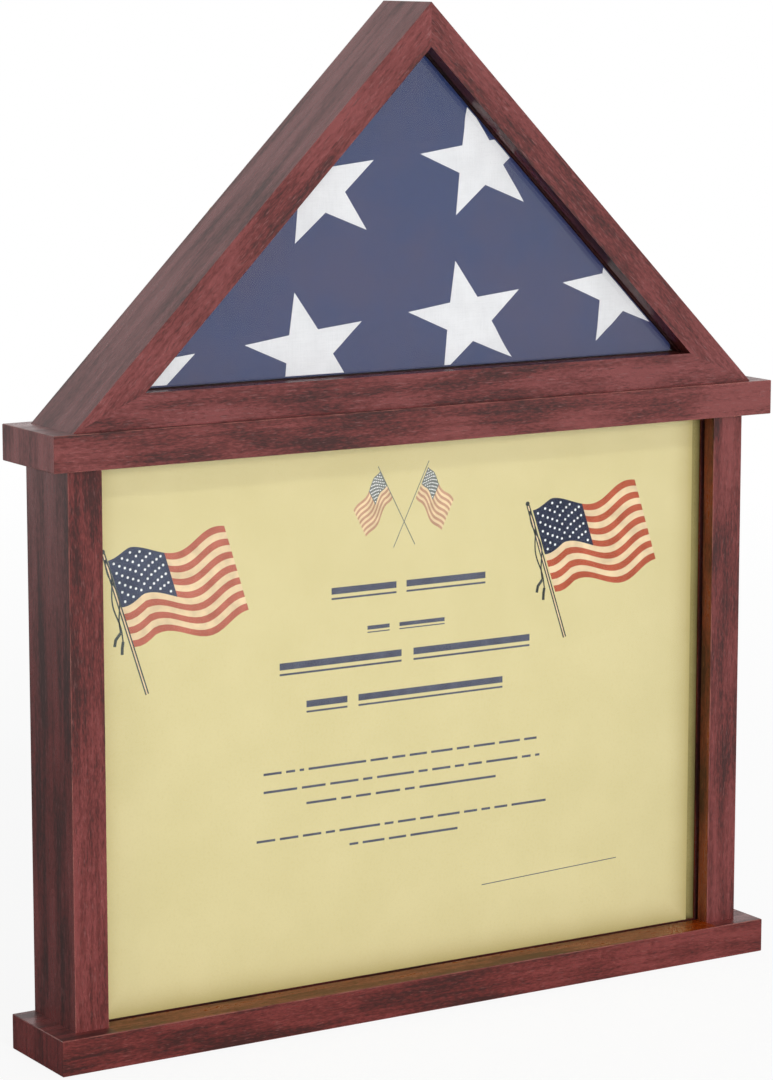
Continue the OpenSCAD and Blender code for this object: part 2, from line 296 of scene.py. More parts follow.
def makeBoardWood(name, turn, shift, tint):
    material, tree, shader = newMaterial(name, {"IOR": woodLook["ior"]})
    along = objectSpace(tree, (0, math.radians(turn), 0), shift)

    def tinted(stain):
        return tuple(value * share for value, share in zip(woodLook[stain], tint)) + (1,)

    grain = useGroup(tree, stainedGrain, {
        "Vector": along, "Light stain": tinted("light"), "Mid stain": tinted("mid"),
        "Dark stain": tinted("dark"), "Scuff": tinted("scuff"), "Streaks": woodLook["streaks"],
        "Patches": woodLook["patches"], "Scuffs": woodLook["scuffs"]})
    # pale rubbed arrises, and painted shade in joints and on the grooves' rear walls
    worn = useGroup(tree, rubbedArrisAndShade, {
        "Color": grain["Color"], "Rubbed": woodLook["rubbed"], "Amount": woodLook["rubAmount"],
        "Vector": along})
    tree.links.new(worn["Color"], shader.inputs["Base Color"])
    gloss = rangeNode(tree, grain["Gloss loss"], 0, 1, *woodLook["roughness"])
    tree.links.new(gloss, shader.inputs["Roughness"])
    addBump(tree, shader, grain["Height"], *woodLook["bump"])
    return material


# boards: the grain's turn in degrees, where its pattern is taken from, and how each side's stain differs; the
# base's paperReflectionTint paints the paper's yellow reflection and bounce light on its bay floor
boardPieces = {
    "baseBoard": {"node": "base_board", "turn": 0, "shift": (5.55, 2.75, 1.66), "tint": (1.0, 0.87, 0.85),
                  "endTint": (1.1, 0.74, 0.72), "paperReflectionTint": (1.3, 0.72, 0.05)},
    "leftPost": {"node": "left_post", "turn": 90, "shift": (1.53, 2.97, 2.70), "tint": (1.03, 1.0, 1.0)},
    "rightPost": {"node": "right_post", "turn": 90, "shift": (1.84, 1.48, 0.49), "tint": (0.98, 0.98, 0.98)},
    "mantelBoard": {"node": "mantel_board", "turn": 0, "shift": (0.17, 5.01, 2.60), "tint": (0.98, 1.02, 1.02),
                    "endTint": (1.3, 1.12, 1.12)},
    "leftRafter": {"node": "left_rafter", "turn": 45, "shift": (3.69, 4.69, 2.27), "tint": (1.0, 1.05, 1.07)},
    "rightRafter": {"node": "right_rafter", "turn": -45, "shift": (5.48, 5.82, 5.82),
                    "tint": (0.98, 1.05, 1.07)},
    "caseSill": {"node": "sill", "turn": 0, "shift": (0.65, 5.40, 3.06), "tint": (0.95, 1.0, 1.02)},
}
longBoards = ("base_board", "mantel_board")
easing = {"width": 0.0003, "shortest": 0.02, "bluntest": 25}  # metres, metres and degrees
meetings = {  # heights at which a piece meets a board
    "sill": (0.2442,), "left_rafter": (0.2442,), "right_rafter": (0.2442,),
    "left_post": (0.014, 0.2302), "right_post": (0.014, 0.2302),
}
certificateBay = {"side": 0.142, "floor": 0.014, "middle": 0.1221, "top": 0.2302}
flagBay = {"floor": 0.2574}
mitres = {"footOuter": (0.1563, 0.2442), "footInner": (0.12585, 0.2574), "within": 5e-5}  # X and Z of a foot
paneSpans = [[corner[1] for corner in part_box(pane)] for pane in ("certificate_glass", "flag_glass")]
paneClearance = 0.0003
# painted shade: the grooves' rear walls are painted dark as they lie in shade
grooveShade = -0.8  # arris value of a groove's rear wall, always in shade


# edges of a mitre stay sharp, so that the joint closes
def onMitre(spot):
    (outerX, outerZ), (innerX, innerZ) = mitres["footOuter"], mitres["footInner"]
    run = Vector((innerX - outerX, innerZ - outerZ)).normalized()
    off = Vector((abs(spot.x) - outerX, spot.z - outerZ))
    onFoot = abs(off.x * run.y - off.y * run.x) < mitres["within"] and spot.z >= outerZ - touching
    return onFoot or (abs(spot.x) < mitres["within"] and spot.z > innerZ)


def isOuterArris(edge, plan, lows, highs):
    if len(edge.link_faces) != 2 or edge.calc_length() < easing["shortest"] or not edge.is_convex:
        return False
    a, b = (v.co for v in edge.verts)
    if edge.calc_face_angle() < math.radians(easing["bluntest"]) or (onMitre(a) and onMitre(b)):
        return False
    # the panes' grooves keep their sharp lips, and the posts their sharp ends
    if abs(a.y - b.y) < touching and any(
            near - paneClearance < a.y < far + paneClearance for near, far in paneSpans):
        return False
    level = abs(a.z - b.z) < touching and min(abs(a.z - lows.z), abs(a.z - highs.z)) < touching
    return not (plan["turn"] == 90 and level)


def backsPane(face):
    depth = face.calc_center_median().y
    return face.normal.y < -squareOn and any(-touching < depth - far < paneClearance for near, far in paneSpans)


# walls of the certificate's bay
def facesSheet(face):
    spot, normal = face.calc_center_median(), face.normal
    upright = abs(normal.x) > squareOn
    inwards = -normal.x * spot.x if upright else normal.z * (certificateBay["middle"] - spot.z)
    return (inwards > 0 and (upright or abs(normal.z) > squareOn)
            and abs(spot.x) <= certificateBay["side"] + touching
            and certificateBay["floor"] - touching <= spot.z <= certificateBay["top"] + touching)


# floor and slopes of the flag's bay
def facesFlag(face):
    spot, normal = face.calc_center_median(), face.normal
    if abs(normal.y) > 1 - squareOn or spot.z < flagBay["floor"] - touching:
        return False
    if spot.z < flagBay["floor"] + touching:
        return normal.z > squareOn
    return normal.z < -0.5 and normal.x * spot.x < 0


# the long boards' ends show upright bands; the certificate's bay walls get the paper's yellow reflection and
# bounce light painted on, the flag's bay painted shade
def stainAndPaintedLightKind(face, node):
    if node in longBoards and abs(face.normal.x) > squareOn:
        return "EndStain"
    if facesSheet(face):
        return "InnerStain"
    return "FlagBayStain" if facesFlag(face) else "Stain"


def stainAndPaintedLightBoard(pieceName, plan, kind):
    # the paper's reflection and the flag bay's shade are painted as tints of the stain
    tints = {"Stain": plan["tint"], "EndStain": plan.get("endTint"), "FlagBayStain": woodLook["flagBayShadeTint"],
             "InnerStain": plan.get("paperReflectionTint", woodLook["paperReflectionTint"])}
    turn = 90 if kind == "EndStain" else plan["turn"]
    return makeBoardWood(pieceName + kind, turn, plan["shift"], tints[kind])


for pieceName, plan in boardPieces.items():
    node = plan["node"]
    bm = mergedCopy(node)
    lows, highs = (Vector(corner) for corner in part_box(node))
    if node in longBoards:
        for side in (-certificateBay["side"], certificateBay["side"]):
            cutMesh(bm, (side, 0, 0), (1, 0, 0), near=1e-6)  # the bay's painted paper reflection ends at the posts
    easeEdges(bm, [edge for edge in bm.edges if isOuterArris(edge, plan, lows, highs)], easing["width"])
    arris = bm.faces.layers.float["arris"]
    # arrises where a piece meets a board, and the grooves' rear walls, get painted shade
    for face in bm.faces:
        height = face.calc_center_median().z
        if face[arris] and any(abs(height - level) < easing["width"] for level in meetings.get(node, ())):
            face[arris] = -1.0
        elif backsPane(face):
            face[arris] = grooveShade
    kinds = [stainAndPaintedLightKind(face, node) for face in bm.faces]
    used = sorted(set(kinds))
    for face, kind in zip(bm.faces, kinds):
        face.material_index = used.index(kind)
    piece = finishPiece(bm, pieceName, [stainAndPaintedLightBoard(pieceName, plan, kind) for kind in used])
    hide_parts(node)
print("boards, posts and flag case eased and stained")


# clear panes that let the lamps' light through
panes = {
    "flagPane": {"node": "flag_glass", "ior": 1.45},
    "certificatePane": {"node": "certificate_glass", "ior": 1.2},  # low-glare glass mirrors less
}
paneTints = {"seen": (0.99, 1.0, 0.995, 1), "lit": (0.95, 0.955, 0.95, 1)}


# the first shader gives way to the second by the given share
def mixSurface(tree, share, first, second):
    mixer = addNode(tree, "ShaderNodeMixShader", {0: share, 1: first.outputs[0], 2: second.outputs[0]})
    tree.links.new(mixer.outputs[0], tree.nodes["Material Output"].inputs["Surface"])


def makePaneGlass(name, ior):
    material, tree, shader = newMaterial(name, {
        "Base Color": paneTints["seen"], "Roughness": 0.0, "IOR": ior, "Transmission Weight": 1.0})
    rays = addNode(tree, "ShaderNodeLightPath").outputs
    lamplight = mathNode(tree, "MAXIMUM", rays["Is Shadow Ray"], rays["Is Diffuse Ray"])
    mixSurface(tree, lamplight, shader, addNode(tree, "ShaderNodeBsdfTransparent", {"Color": paneTints["lit"]}))
    return material


for paneName, plan in panes.items():
    dressNode(plan["node"], makePaneGlass(paneName, plan["ior"]))
print("panes glazed")

# soft blotches and fine flecks, for paper, card, hardboard and ink
mottlePattern = {
    "blotch": (4.0, 0.55),  # each noise's detail and roughness
    "fleck": (3.0, 0.6),
    "blotchEdge": (0.35, 0.65),
    "fleckEdge": (0.5, 0.75),
}


def makeMottleGroup(plan):
    group, entry, result = newGroup(
        "mottle",
        {"Vector": "Vector", "Base": "Color", "Blotch": "Color", "Blotch size": "Float",
         "Fleck size": "Float", "Fleck amount": "Float"},
        {"Color": "Color", "Height": "Float"})
    blotch = noiseNode(group, entry["Vector"], entry["Blotch size"], *plan["blotch"])
    fleck = noiseNode(group, entry["Vector"], entry["Fleck size"], *plan["fleck"])
    color = mixColor(group, rangeNode(group, blotch, *plan["blotchEdge"]), entry["Base"], entry["Blotch"])
    flecks = mathNode(group, "MULTIPLY", rangeNode(group, fleck, *plan["fleckEdge"]), entry["Fleck amount"])
    group.links.new(mixColor(group, flecks, color, entry["Blotch"], "MULTIPLY"), result["Color"])
    group.links.new(fleck, result["Height"])
    return group


mottle = makeMottleGroup(mottlePattern)
hardboard = {"base": (0.19, 0.105, 0.055, 1), "blotch": (0.17, 0.095, 0.05, 1), "blotchSize": 85.0,
             "fleckSize": 1300.0, "fleckAmount": 0.6, "roughness": 0.6, "bump": (0.4, 0.0001)}
flatStocks = {
    # the paper and card darken towards their foot and sides, as painted shade
    "parchmentPaper": {
        "node": "certificate", "base": (0.768, 0.667, 0.358, 1), "blotch": (0.735, 0.637, 0.332, 1),
        "blotchSize": 34.0, "fleckSize": 900.0, "fleckAmount": 0.12, "roughness": 0.75,
        "bump": (0.4, 0.00003), "edgeShade": (0.70, 0.66, 0.53, 1), "edgeShadeWidth": 0.013},
    "mountCard": {
        "node": "certificate_backing", "base": (0.38, 0.32, 0.125, 1), "blotch": (0.32, 0.265, 0.1, 1),
        "blotchSize": 60.0, "fleckSize": 1500.0, "fleckAmount": 0.3, "roughness": 0.85,
        "bump": (0.4, 0.00006), "edgeShade": (0.3, 0.27, 0.25, 1), "edgeShadeWidth": 0.0045},
    "certificateHardboard": {"node": "certificate_back_panel", **hardboard},
    "flagHardboard": {"node": "flag_back_panel", **hardboard},
}


# painted shade: 1 along the sheet's foot and sides, fading out inwards
def paintedEdgeShade(tree, nodeName, width):
    lows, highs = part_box(nodeName)
    spot = addNode(tree, "ShaderNodeSeparateXYZ", {0: objectSpace(tree)}).outputs
    fromLeft = mathNode(tree, "SUBTRACT", spot["X"], lows[0])
    fromRight = mathNode(tree, "SUBTRACT", highs[0], spot["X"])
    fromFoot = mathNode(tree, "SUBTRACT", spot["Z"], lows[2])
    inwards = mathNode(tree, "MINIMUM", mathNode(tree, "MINIMUM", fromLeft, fromRight), fromFoot)
    return mathNode(tree, "POWER", rangeNode(tree, inwards, 0.0, width, 1.0, 0.0), 2.0)


def makeMottled(name, plan):
    material, tree, shader = newMaterial(name, {"Roughness": plan["roughness"]})
    stock = useGroup(tree, mottle, {
        "Vector": objectSpace(tree), "Base": plan["base"], "Blotch": plan["blotch"],
        "Blotch size": plan["blotchSize"], "Fleck size": plan["fleckSize"],
        "Fleck amount": plan["fleckAmount"]})
    color = stock["Color"]
    # painted shade darkens the foot and sides
    if "edgeShade" in plan:
        rim = paintedEdgeShade(tree, plan["node"], plan["edgeShadeWidth"])
        color = mixColor(tree, rim, color, plan["edgeShade"], "MULTIPLY")
    tree.links.new(color, shader.inputs["Base Color"])
    addBump(tree, shader, stock["Height"], *plan["bump"])
    return material


for name, plan in flatStocks.items():
    dressNode(plan["node"], makeMottled(name, plan))
print("paper, card and back panels finished")

# woven cloth: uneven threads both ways and soft clouding
weavePattern = {
    "warp": ((2600, 2600, 120), 2.0, 0.6),  # stretch, detail and roughness
    "weft": ((120, 2600, 2600), 2.0, 0.6),
    "cloud": (5.0, 0.6),  # detail and roughness
    "cloudEdge": (0.4, 0.62),
    "hollowEdge": (0.55, 0.38),
    "hollow": (0.0, 0.0, 0.0, 1),
}


def makeWeaveGroup(plan):
    group, entry, result = newGroup(
        "wovenCloth",
        {"Vector": "Vector", "Base": "Color", "Cloud": "Color", "Cloud size": "Float", "Thread": "Float"},
        {"Color": "Color", "Height": "Float"})
    warp, weft = (stretchedNoise(group, entry["Vector"], *plan[name]) for name in ("warp", "weft"))
    threads = weighted(group, warp, 0.5, weft)
    cloud = noiseNode(group, entry["Vector"], entry["Cloud size"], *plan["cloud"])
    color = mixColor(group, rangeNode(group, cloud, *plan["cloudEdge"]), entry["Base"], entry["Cloud"])
    hollow = mathNode(group, "MULTIPLY", rangeNode(group, threads, *plan["hollowEdge"]), entry["Thread"])
    group.links.new(mixColor(group, hollow, color, plan["hollow"]), result["Color"])
    group.links.new(threads, result["Height"])
    return group


wovenCloth = makeWeaveGroup(weavePattern)
clothLook = {
    "navyCloth": {"base": (0.0165, 0.033, 0.124, 1), "cloud": (0.035, 0.037, 0.113, 1), "cloudSize": 20.0,
                  "thread": 0.06, "roughness": 0.85},
    "starCloth": {"base": (0.84, 0.83, 0.86, 1), "cloud": (0.77, 0.76, 0.79, 1), "cloudSize": 42.0,
                  "thread": 0.05, "roughness": 0.8},
}
clothSheen = {"Sheen Weight": 0.08, "Sheen Roughness": 0.5}
clothBump = (0.15, 0.00002)


def makeCloth(name, plan):
    material, tree, shader = newMaterial(name, {"Roughness": plan["roughness"], **clothSheen})
    weave = useGroup(tree, wovenCloth, {
        "Vector": objectSpace(tree), "Base": plan["base"], "Cloud": plan["cloud"],
        "Cloud size": plan["cloudSize"], "Thread": plan["thread"]})
    tree.links.new(weave["Color"], shader.inputs["Base Color"])
    addBump(tree, shader, weave["Height"], *clothBump)
    return material


clothStuff = {name: makeCloth(name, plan) for name, plan in clothLook.items()}

# the folded flag: one thick bundle whose plies show on its edges
foldedFlag = {
    "halfWidth": 0.125126,  # the height is the same, so both slopes lie at 45 degrees
    "base": 0.2577,
    "front": -0.01025,
    "thickness": 0.0218,
    "cells": 50,
    "cornerCut": 0.0025,
    "plies": 10,
    "ringsPerPly": 3,
    "groove": 0.0006,
    "plyUnevenness": 0.0004,
    "unevenScale": 14,
    "plyShift": 7.3,  # gives each ply its own unevenness
    "rimWidth": 0.0006,  # keeps the front ply's rounding tight
    "frames": 20,
    "pressure": 0.6,
    "proud": 0.00005,  # the front is held this close to where the solid has it
    "deepest": 0.0008,
    "cloth": {
        "quality": 6, "mass": 0.15, "tension_stiffness": 12, "compression_stiffness": 12, "shear_stiffness": 6,
        "bending_stiffness": 0.25, "vertex_group_mass": "held", "pin_stiffness": 10, "shrink_min": -0.02,
        "use_pressure": True},
}


# cloth settles by the order of a mesh's parts, which differs from run to run, so they are put in one order
def putInOrder(bm):
    def arrange(parts, place):
        ranks = {part: rank for rank, part in enumerate(sorted(parts, key=place))}
        parts.sort(key=ranks.get)
        parts.index_update()

    arrange(bm.verts, lambda vert: vert.co[:])
    for parts in (bm.edges, bm.faces):
        arrange(parts, lambda part: sorted(vert.index for vert in part.verts))


def makeBundle(plan):
    bm = bmesh.new()
    half, base, front, thick = plan["halfWidth"], plan["base"], plan["front"], plan["thickness"]
    place = (Matrix.Translation((0, front, base + half / 2)) @ Matrix.Rotation(math.radians(90), 4, "X")
             @ Matrix.Diagonal((half, half / 2, 1, 1)))
    bmesh.ops.create_grid(bm, x_segments=plan["cells"] * 2, y_segments=plan["cells"], size=1.0, matrix=place)
    cut = plan["cornerCut"]
    for point, normal in (((half, 0, base), (1, 0, 1)), ((-half, 0, base), (-1, 0, 1)),
                          ((0, 0, base + half - cut), (0, 0, 1)), ((half - cut, 0, 0), (1, 0, 0)),
                          ((cut - half, 0, 0), (-1, 0, 0))):
        cutMesh(bm, point, normal, clearOuter=True, near=touching)
    bmesh.ops.inset_region(bm, faces=bm.faces[:], thickness=plan["rimWidth"], use_even_offset=True)
    thicken(bm, thick)
    across = [edge for edge in bm.edges if abs(edge.verts[0].co.y - edge.verts[1].co.y) > thick / 2]
    rings = plan["plies"] * plan["ringsPerPly"]
    bmesh.ops.subdivide_edges(bm, edges=across, cuts=rings - 1, use_grid_fill=True)
    bmesh.ops.recalc_face_normals(bm, faces=bm.faces[:])
    # the plies' grooves: each ring is drawn in about the middle of the triangle
    inradius = half * (math.sqrt(2) - 1)
    middle = Vector((0, 0, base + inradius))
    for vert in bm.verts:
        ring = round((vert.co.y - front) / (thick / rings))
        vert.co.y = front + ring * thick / rings
        if ring in (0, rings):
            continue
        ply, ringInPly = divmod(ring, plan["ringsPerPly"])
        spot = Vector((vert.co.x * plan["unevenScale"], ply * plan["plyShift"],
                       vert.co.z * plan["unevenScale"]))
        inset = plan["plyUnevenness"] * (0.5 + 0.5 * noise.noise(spot)) + (0.0 if ringInPly else plan["groove"])
        scale = 1 - inset / inradius
        vert.co.x *= scale
        vert.co.z = middle.z + (vert.co.z - middle.z) * scale
    putInOrder(bm)
    return bm


def evaluatedCopy(piece):
    graph = bpy.context.evaluated_depsgraph_get()
    return bpy.data.meshes.new_from_object(piece.evaluated_get(graph), depsgraph=graph)


# the front ply is let settle: a little slack and air behind it, its rim held
def settleFront(piece, plan):
    front, verts = plan["front"], piece.data.vertices
    rim = {v for edge in piece.data.edges for v in edge.vertices
           if any(verts[end].co.y > front + touching for end in edge.vertices)}
    held = piece.vertex_groups.new(name="held")
    held.add(list(rim), 1.0, "REPLACE")
    cloth = piece.modifiers.new("settle", "CLOTH")
    for name, value in plan["cloth"].items():
        setattr(cloth.settings, name, value)
    cloth.settings.uniform_pressure_force = plan["pressure"]
    cloth.settings.effector_weights.gravity = 0
    cloth.point_cache.frame_start, cloth.point_cache.frame_end = 1, plan["frames"]
    for frameNumber in range(1, plan["frames"] + 1):
        bpy.context.scene.frame_set(frameNumber)
    settled = evaluatedCopy(piece)
    piece.modifiers.clear()
    for vert, moved in zip(piece.data.vertices, settled.vertices):
        if abs(vert.co.y - front) < touching and vert.index not in rim:
            vert.co.y = min(max(moved.co.y, front + plan["proud"]), front + plan["deepest"])
    bpy.data.meshes.remove(settled)
    piece.vertex_groups.clear()
    bpy.context.scene.frame_set(1)


flagBundle = finishPiece(makeBundle(foldedFlag), "flagBundle", [clothStuff["navyCloth"]],
                         smoothAngle=180)
settleFront(flagBundle, foldedFlag)
rounding = flagBundle.modifiers.new("rounding", "SUBSURF")
rounding.levels = rounding.render_levels = 1
roundedMesh = evaluatedCopy(flagBundle)
flagBundle.modifiers.clear()
flagBundle.data = roundedMesh
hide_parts("folded_flag")
print("flag folded:", len(roundedMesh.polygons), "faces, foremost at",
      round(min(v.co.y for v in roundedMesh.vertices) / millimetre, 2), "mm")

# stars sewn on the front ply
flagStars = {
    "points": 5,
    "waist": 0.40,  # as a share of the tips' reach
    "across": (0.02734, 0.00337),  # where the star's own sideways and upward reach lie on the flag
    "upward": (-0.0060, 0.0229),
    "spots": ((-50.4, 267.8), (22.9, 276.6), (-44.85, 329.9), (28.4, 338.0), (96.0, 284.6), (-124.1, 259.5)),
    "hem": 0.0008,
    "lift": (0.0001, 0.00027),  # at the rim and inside the hem
    "inside": 0.0009,  # the cloth's own edge hides what lies past this
    "cell": 0.002,
    "cellStart": (0.0004, -0.0013),  # in X, and in Z from the flag's foot
    "thickness": 0.0005,
    "drawnAt": -0.02,  # well before the flag, until the stars are laid on it
}


# a star of unit reach, one tip up, laid out flat before the flag
def drawStar(bm, plan, spotX, spotZ):
    tips = plan["points"]
    verts = bmesh.ops.create_circle(bm, cap_ends=True, radius=1.0, segments=2 * tips)["verts"]
    start = math.atan2(verts[0].co.y, verts[0].co.x)
    bmesh.ops.rotate(bm, verts=verts, matrix=Matrix.Rotation(math.radians(90) - start, 3, "Z"))
    for vert in verts:
        if round((math.atan2(vert.co.y, vert.co.x) - math.radians(90)) / (math.pi / tips)) % 2:
            vert.co *= plan["waist"]
    (acrossX, acrossZ), (upX, upZ) = plan["across"], plan["upward"]
    lay = Matrix(((acrossX, upX, 0, spotX * millimetre), (0, 0, -1, plan["drawnAt"]),
                  (acrossZ, upZ, 0, spotZ * millimetre), (0, 0, 0, 1)))
    bmesh.ops.transform(bm, matrix=lay, verts=verts)


def makeStars(plan, bundle, clothMesh):
    bm = bmesh.new()
    for spotX, spotZ in plan["spots"]:
        drawStar(bm, plan, spotX, spotZ)
    bmesh.ops.inset_region(bm, faces=bm.faces[:], thickness=plan["hem"], use_even_offset=True)
    # 1 on the rim and 0 inside the hem; the cuts below find the values between
    hem = bm.verts.layers.float.new("hem")
    rimVerts = {vert for edge in bm.edges if edge.is_boundary for vert in edge.verts}
    for vert in rimVerts:
        vert[hem] = 1.0
    slope = bundle["halfWidth"] - plan["inside"] * math.sqrt(2)
    for point, normal in (((0, 0, bundle["base"] + plan["inside"]), (0, 0, -1)),
                          ((slope, 0, bundle["base"]), (1, 0, 1)), ((-slope, 0, bundle["base"]), (-1, 0, 1))):
        cutMesh(bm, point, normal, clearOuter=True)
    startX, startZ = plan["cellStart"]
    reach = math.ceil(bundle["halfWidth"] / plan["cell"])
    for index in range(-reach, reach + 1):
        cutMesh(bm, (index * plan["cell"] + startX, 0, 0), (1, 0, 0))
        if index > 0:
            cutMesh(bm, (0, 0, bundle["base"] + index * plan["cell"] + startZ), (0, 0, 1))
    under = BVHTree.FromPolygons([v.co for v in clothMesh.vertices], [p.vertices for p in clothMesh.polygons])
    rim, inner = plan["lift"]
    for vert in bm.verts:
        spot = under.ray_cast(Vector((vert.co.x, plan["drawnAt"], vert.co.z)), Vector((0, 1, 0)))[0]
        vert.co.y = (spot.y if spot else bundle["front"]) - (inner + (rim - inner) * vert[hem])
    thicken(bm, plan["thickness"])
    bmesh.ops.recalc_face_normals(bm, faces=bm.faces[:])
    return bm


starPiece = finishPiece(makeStars(flagStars, foldedFlag, roundedMesh), "flagStars", [clothStuff["starCloth"]],
                        smoothAngle=40)
print("stars sewn on:", len(starPiece.data.polygons), "faces")

# printing on the sheet: thin films of ink, each stepped a little nearer than the last
sheetInks = {
    "paleInk": (0.75, 0.57, 0.355),
    "redInk": (0.45, 0.13, 0.088),
    "deepRedInk": (0.42, 0.078, 0.032),
    "navyInk": (0.048, 0.058, 0.098),
    "deepNavyInk": (0.004, 0.009, 0.035),
    "whiteInk": (0.84, 0.84, 0.82),
    "slateInk": (0.06, 0.072, 0.07),
    "deepSlateInk": (0.025, 0.03, 0.028),
    "softRedInk": (0.50, 0.28, 0.18),
    "softNavyInk": (0.17, 0.18, 0.17),
    "textInk": (0.075, 0.08, 0.12),
}
inkNames = list(sheetInks)
inkLook = {"blotchSize": 160.0, "fleckSize": 2600.0, "fleckAmount": 0.0, "roughness": 0.6,
           "bump": (0.3, 0.00002)}
inkThinned = (1.25, 0.012)  # times and plus, where the ink lies thin
sheetPrint = {"front": -0.00545, "step": 0.000014, "film": 0.000008}


def makeInk(name, ink):
    times, plus = inkThinned
    thin = tuple(min(1.0, value * times + plus) for value in ink)
    return makeMottled(name, {"base": ink + (1,), "blotch": thin + (1,), **inkLook})


inkStuff = [makeInk(name, ink) for name, ink in sheetInks.items()]


def layInk(bm, verts, ink, layer, place):
    for vert in verts:
        x, z = place(vert.co)
        vert.co = (x * millimetre, sheetPrint["front"] - layer * sheetPrint["step"], z * millimetre)
    for face in {f for v in verts for f in v.link_faces}:
        face.material_index = inkNames.index(ink)


# a band of ink along a list of points, in millimetres on the sheet
def inkBand(bm, points, width, ink, layer):
    count = len(points) - 1
    made = bmesh.ops.create_grid(bm, x_segments=count, y_segments=1, size=0.5)
    path = [Vector(point) for point in points]

    def place(spot):
        index = round((spot.x + 0.5) * count)
        along = (path[min(index + 1, count)] - path[max(index - 1, 0)]).normalized()
        return path[index] + Vector((-along.y, along.x)) * (spot.y * width)

    layInk(bm, made["verts"], ink, layer, place)


def inkDot(bm, centre, radius, segments, ink, layer):
    made = bmesh.ops.create_circle(bm, cap_ends=True, radius=radius, segments=segments)
    layInk(bm, made["verts"], ink, layer, lambda spot: centre + Vector((spot.x, spot.y)))


# the sheet's four flags, in millimetres; inks are for stripes, union and pole
largeFlag = {"ripple": 3.2, "dot": 0.55, "cord": True}
smallFlag = {"ripple": 0.9, "dot": 0.28, "cord": False, "inks": ("softRedInk", "softNavyInk", "softNavyInk")}
wavingFlags = {
    "leftPrint": {
        "hoist": ((-135.3, 192.9), (-124.5, 158.6)), "fly": (-84.2, 199.5),
        "pole": ((-137.2, 195.6), (-119.1, 139.7)), "inks": ("redInk", "navyInk", "slateInk"), **largeFlag},
    "rightPrint": {
        "hoist": ((58.0, 196.2), (69.3, 161.6)), "fly": (109.3, 202.4), "pole": ((55.7, 198.3), (74.1, 142.4)),
        "inks": ("deepRedInk", "deepNavyInk", "deepSlateInk"), **largeFlag},
    "middleLeftPrint": {
        "hoist": ((-14.6, 217.7), (-8.8, 206.7)), "fly": (-26.5, 202.5),
        "pole": ((-15.5, 219.7), (1.6, 187.2)), **smallFlag},
    "middleRightPrint": {
        "hoist": ((7.8, 217.8), (2.0, 205.8)), "fly": (19.5, 203.1),
        "pole": ((8.2, 220.3), (-8.4, 186.8)), **smallFlag},
}
flagPattern = {
    "stripes": 13, "unionWidth": 0.46, "unionStripes": 7, "starRows": 9, "longRow": 6, "dotSegments": 8,
    "steps": 20,  # cells along each stripe
    "waves": 1.35, "lag": -0.105,  # ripples along the fly, and how far the foot lags behind the head
    "heldBy": 5,  # the hoist holds this inverse share of the fly still
}
flagPole = {
    "plain": 0.34, "core": 0.9, "edge": 0.55, "edgeWidth": 0.55,
    "knob": 1.0, "knobSegments": 12, "knobRise": 0.8,
    "cords": ((0.0, 0.50, -2.6), (math.pi, 0.56, -0.5)),  # phase, share of the pole's length, tassel's lean
    "cordSteps": 18, "cordHead": 0.04, "cordWidth": 0.6,
    "swell": 2.0, "swellEnd": 1.15, "turns": 5.2, "drift": 3.0,
    "tasselMiddle": (0.8, -2.4), "tasselFoot": -5.0, "tasselWidth": 1.25,
}


def printFlag(bm, plan, pattern):
    top, bottom = (Vector(spot) for spot in plan["hoist"])
    along, drop = Vector(plan["fly"]) - top, bottom - top
    lean = -drop.normalized()
    red, navy, slate = plan["inks"]

    def onFlag(across, down):
        angle = 2 * math.pi * (pattern["waves"] * across + pattern["lag"] * down)
        swing = plan["ripple"] * math.sin(angle) * min(1.0, across * pattern["heldBy"])
        return top + along * across + drop * down + lean * swing

    def patch(across, down, ink, layer):
        made = bmesh.ops.create_grid(bm, x_segments=pattern["steps"], y_segments=1, size=0.5)
        layInk(bm, made["verts"], ink, layer, lambda spot: onFlag(
            across[0] + (spot.x + 0.5) * (across[1] - across[0]),
            down[0] + (0.5 - spot.y) * (down[1] - down[0])))

    stripe = 1 / pattern["stripes"]
    unionWidth, unionFoot = pattern["unionWidth"], pattern["unionStripes"] * stripe
    patch((0, 1), (0, 1), "paleInk", 1)
    for index in range(0, pattern["stripes"], 2):
        start = unionWidth if index < pattern["unionStripes"] else 0.0
        patch((start, 1), (index * stripe, (index + 1) * stripe), red, 2)
    patch((0, unionWidth), (0, unionFoot), navy, 2)
    for row in range(pattern["starRows"]):
        short = row % 2
        for column in range(pattern["longRow"] - short):
            across = unionWidth * (2 * column + 1 + short) / (2 * pattern["longRow"])
            centre = onFlag(across, unionFoot * (row + 1) / (pattern["starRows"] + 1))
            inkDot(bm, centre, plan["dot"], pattern["dotSegments"], "whiteInk", 3)


